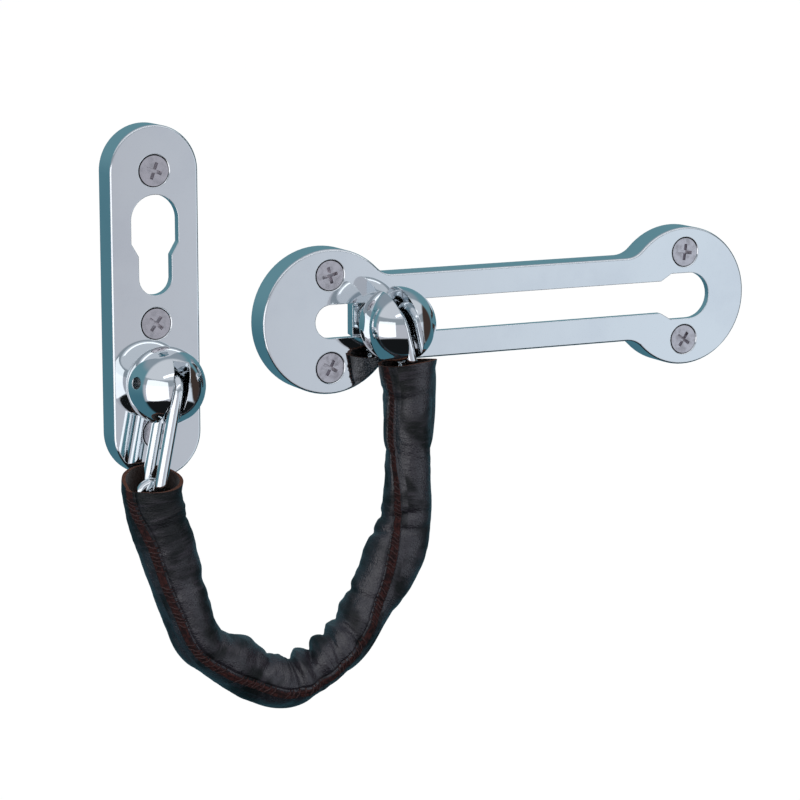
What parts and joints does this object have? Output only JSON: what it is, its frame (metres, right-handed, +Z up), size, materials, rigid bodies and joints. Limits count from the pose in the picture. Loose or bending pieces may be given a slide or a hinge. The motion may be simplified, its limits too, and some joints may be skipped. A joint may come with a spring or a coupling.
{
  "type": "door chain guard",
  "caption": "Door chain guard with a slotted track, a sliding ball knob, a leather-sleeved chain and a keeper plate with a swivelling ball.",
  "frame": {"origin": "middle of the four screws of the track, in the plane of the plates' backs", "axes": "+X along the track towards its keyhole, +Z up, -Y out of the door towards the user"},
  "size_m": [0.1951, 0.0459, 0.1573],
  "materials": {
    "chrome": "bright polished chrome plate",
    "screw": "nickel-plated steel",
    "steel": "blackened turned steel",
    "leather": "black grained leather, satin"
  },
  "bodies": {
    "base": {"track_plate": "chrome", "keeper_plate": "chrome", "track_screws": "screw", "keeper_screws": "screw"},
    "slide": {"slide_head": "chrome"},
    "knob": {"knob_ball": "chrome", "knob_pin": "steel", "knob_screw": "steel", "knob_link": "chrome"},
    "anchor": {"anchor_ball": "chrome", "anchor_pin": "steel", "anchor_washer": "steel", "anchor_screw": "steel", "anchor_shackle": "chrome", "sleeve_mouth": "leather"},
    "link_01": {"chain_link_01": "chrome", "sleeve_01": "leather"},
    "link_02": {"chain_link_02": "chrome", "sleeve_02": "leather"},
    "link_03": {"chain_link_03": "chrome", "sleeve_03": "leather"},
    "link_04": {"chain_link_04": "chrome", "sleeve_04": "leather"},
    "link_05": {"chain_link_05": "chrome", "sleeve_05": "leather"},
    "link_06": {"chain_link_06": "chrome", "sleeve_06": "leather"},
    "link_07": {"chain_link_07": "chrome", "sleeve_07": "leather"},
    "link_08": {"chain_link_08": "chrome", "sleeve_08": "leather"},
    "link_09": {"chain_link_09": "chrome", "sleeve_09": "leather"},
    "link_10": {"chain_link_10": "chrome", "sleeve_10": "leather"},
    "link_11": {"end_ring": "chrome", "sleeve_11": "leather"}
  },
  "joints": [
    {"name": "knob_slide", "type": "slide", "parent": "base", "child": "slide", "axis": [1, 0, 0], "range_m": [-0.0148, 0.0968]},
    {"name": "knob_swivel", "type": "hinge", "parent": "slide", "child": "knob", "pos_m": [-0.041, -0.0186, -0.0003], "axis": [0, -1, 0], "range_deg": [-51.19, 8.25]},
    {"name": "anchor_swivel", "type": "hinge", "parent": "base", "child": "anchor", "pos_m": [-0.1062, -0.0142, -0.0126], "axis": [0, -1, 0], "range_deg": [-8.13, 50.42]},
    {"name": "link_01_turn", "type": "hinge", "parent": "anchor", "child": "link_01", "pos_m": [-0.11192, -0.0175, -0.04072], "axis": [0, -1, 0], "range_deg": [-19.14, 3.35]},
    {"name": "link_02_turn", "type": "hinge", "parent": "link_01", "child": "link_02", "pos_m": [-0.10882, -0.0175, -0.05273], "axis": [0, -1, 0], "range_deg": [-1.55, 0.66]},
    {"name": "link_03_turn", "type": "hinge", "parent": "link_02", "child": "link_03", "pos_m": [-0.10359, -0.0175, -0.07037], "axis": [0, -1, 0], "range_deg": [-2.5, 0.81]},
    {"name": "link_04_turn", "type": "hinge", "parent": "link_03", "child": "link_04", "pos_m": [-0.09925, -0.0175, -0.08199], "axis": [0, -1, 0], "range_deg": [-15.59, 2.81]},
    {"name": "link_05_turn", "type": "hinge", "parent": "link_04", "child": "link_05", "pos_m": [-0.08446, -0.0175, -0.09293], "axis": [0, -1, 0], "range_deg": [-7.21, 1.53]},
    {"name": "link_06_turn", "type": "hinge", "parent": "link_05", "child": "link_06", "pos_m": [-0.07263, -0.0175, -0.09666], "axis": [0, -1, 0], "range_deg": [-15.25, 2.76]},
    {"name": "link_07_turn", "type": "hinge", "parent": "link_06", "child": "link_07", "pos_m": [-0.05654, -0.0175, -0.08774], "axis": [0, -1, 0], "range_deg": [-10.43, 2.02]},
    {"name": "link_08_turn", "type": "hinge", "parent": "link_07", "child": "link_08", "pos_m": [-0.04925, -0.0175, -0.07771], "axis": [0, -1, 0], "range_deg": [-4.22, 1.07]},
    {"name": "link_09_turn", "type": "hinge", "parent": "link_08", "child": "link_09", "pos_m": [-0.04047, -0.0175, -0.06154], "axis": [0, -1, 0], "range_deg": [-8.21, 1.68]},
    {"name": "link_10_turn", "type": "hinge", "parent": "link_09", "child": "link_10", "pos_m": [-0.03747, -0.0175, -0.04951], "axis": [0, -1, 0], "range_deg": [-10.32, 2]},
    {"name": "link_11_turn", "type": "hinge", "parent": "link_10", "child": "link_11", "pos_m": [-0.03747, -0.0175, -0.03111], "axis": [0, -1, 0], "range_deg": [-1.03, 3.94]}
  ],
  "couplings": [
    {"joint": "knob_swivel", "follows": "knob_slide", "rad_per_m": -9.14},
    {"joint": "anchor_swivel", "follows": "knob_slide", "rad_per_m": 9},
    {"joint": "link_01_turn", "follows": "knob_slide", "rad_per_m": -3.36},
    {"joint": "link_02_turn", "follows": "knob_slide", "rad_per_m": -0.19},
    {"joint": "link_03_turn", "follows": "knob_slide", "rad_per_m": -0.36},
    {"joint": "link_04_turn", "follows": "knob_slide", "rad_per_m": -2.72},
    {"joint": "link_05_turn", "follows": "knob_slide", "rad_per_m": -1.21},
    {"joint": "link_06_turn", "follows": "knob_slide", "rad_per_m": -2.66},
    {"joint": "link_07_turn", "follows": "knob_slide", "rad_per_m": -1.79},
    {"joint": "link_08_turn", "follows": "knob_slide", "rad_per_m": -0.67},
    {"joint": "link_09_turn", "follows": "knob_slide", "rad_per_m": -1.39},
    {"joint": "link_10_turn", "follows": "knob_slide", "rad_per_m": -1.77},
    {"joint": "link_11_turn", "follows": "knob_slide", "rad_per_m": 0.62}
  ]
}
